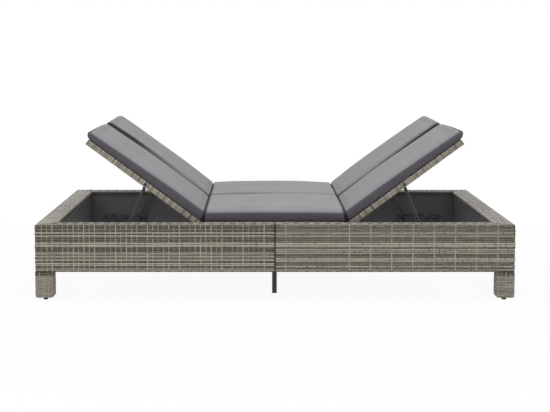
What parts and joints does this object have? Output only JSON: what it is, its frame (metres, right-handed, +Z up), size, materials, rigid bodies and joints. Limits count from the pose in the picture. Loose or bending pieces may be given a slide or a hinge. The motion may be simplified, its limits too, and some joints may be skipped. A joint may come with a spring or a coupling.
{
  "type": "double chaise lounger",
  "caption": "Low woven outdoor lounger for two, with opposed hinged backrests that drop flush, prop bars, ratchet rails and loose cushions.",
  "frame": {"origin": "on the floor, at the centre of the base", "axes": "+Z up, +X along the length towards the right end, -Y towards the front long side"},
  "size_m": [2, 1.2, 0.7067],
  "materials": {
    "rattan": "satin",
    "frame_steel": "satin",
    "liner": "matte",
    "hardware": "satin",
    "black_plastic": "matte",
    "cushion_fabric": "matte",
    "foam": "matte"
  },
  "bodies": {
    "base": {"left_front_weave": "rattan", "left_rear_weave": "rattan", "left_end_weave": "rattan", "left_front_leg_weave": "rattan", "left_rear_leg_weave": "rattan", "left_seat_weave": "rattan", "left_top_rails": "frame_steel", "left_bottom_rails": "frame_steel", "left_wall_uprights": "frame_steel", "left_leg_frames": "frame_steel", "left_hinge_beam": "frame_steel", "left_joint_beam": "frame_steel", "left_seat_frame": "frame_steel", "left_liners": "liner", "left_hinge_bolts": "hardware", "left_ratchet_rails": "black_plastic", "right_front_weave": "rattan", "right_rear_weave": "rattan", "right_end_weave": "rattan", "right_front_leg_weave": "rattan", "right_rear_leg_weave": "rattan", "right_seat_weave": "rattan", "right_top_rails": "frame_steel", "right_bottom_rails": "frame_steel", "right_wall_uprights": "frame_steel", "right_leg_frames": "frame_steel", "right_hinge_beam": "frame_steel", "right_joint_beam": "frame_steel", "right_seat_frame": "frame_steel", "right_liners": "liner", "right_hinge_bolts": "hardware", "right_ratchet_rails": "black_plastic", "seat_cover_front": "cushion_fabric", "seat_cover_rear": "cushion_fabric", "seat_foam_front": "foam", "seat_foam_rear": "foam", "centre_leg_front": "frame_steel", "centre_leg_rear": "frame_steel", "leg_plugs": "black_plastic", "foot_glides": "black_plastic", "joint_bolts": "hardware", "leg_screws": "hardware", "ratchet_screws": "hardware"},
    "left_backrest": {"left_back_frame": "frame_steel", "left_back_weave": "rattan", "left_back_cover_front": "cushion_fabric", "left_back_cover_rear": "cushion_fabric", "left_back_foam_front": "foam", "left_back_foam_rear": "foam", "left_prop_bolts": "hardware"},
    "left_prop_bar": {"left_prop": "frame_steel"},
    "right_backrest": {"right_back_frame": "frame_steel", "right_back_weave": "rattan", "right_back_cover_front": "cushion_fabric", "right_back_cover_rear": "cushion_fabric", "right_back_foam_front": "foam", "right_back_foam_rear": "foam", "right_prop_bolts": "hardware"},
    "right_prop_bar": {"right_prop": "frame_steel"}
  },
  "joints": [
    {"name": "left_back_tilt", "type": "hinge", "parent": "base", "child": "left_backrest", "pos_m": [-0.314, 0, 0.306], "axis": [0, 1, 0], "range_deg": [-36.5, 0]},
    {"name": "left_prop_swing", "type": "hinge", "parent": "left_backrest", "child": "left_prop_bar", "pos_m": [-0.54514, 0, 0.47704], "axis": [0, 1, 0], "range_deg": [0, 82.66]},
    {"name": "right_back_tilt", "type": "hinge", "parent": "base", "child": "right_backrest", "pos_m": [0.314, 0, 0.306], "axis": [0, -1, 0], "range_deg": [-36.5, 0]},
    {"name": "right_prop_swing", "type": "hinge", "parent": "right_backrest", "child": "right_prop_bar", "pos_m": [0.54514, 0, 0.47704], "axis": [0, -1, 0], "range_deg": [0, 82.66]}
  ],
  "couplings": [
    {"joint": "left_prop_swing", "follows": "left_back_tilt", "ratio": -2.2647},
    {"joint": "right_prop_swing", "follows": "right_back_tilt", "ratio": -2.2647}
  ]
}
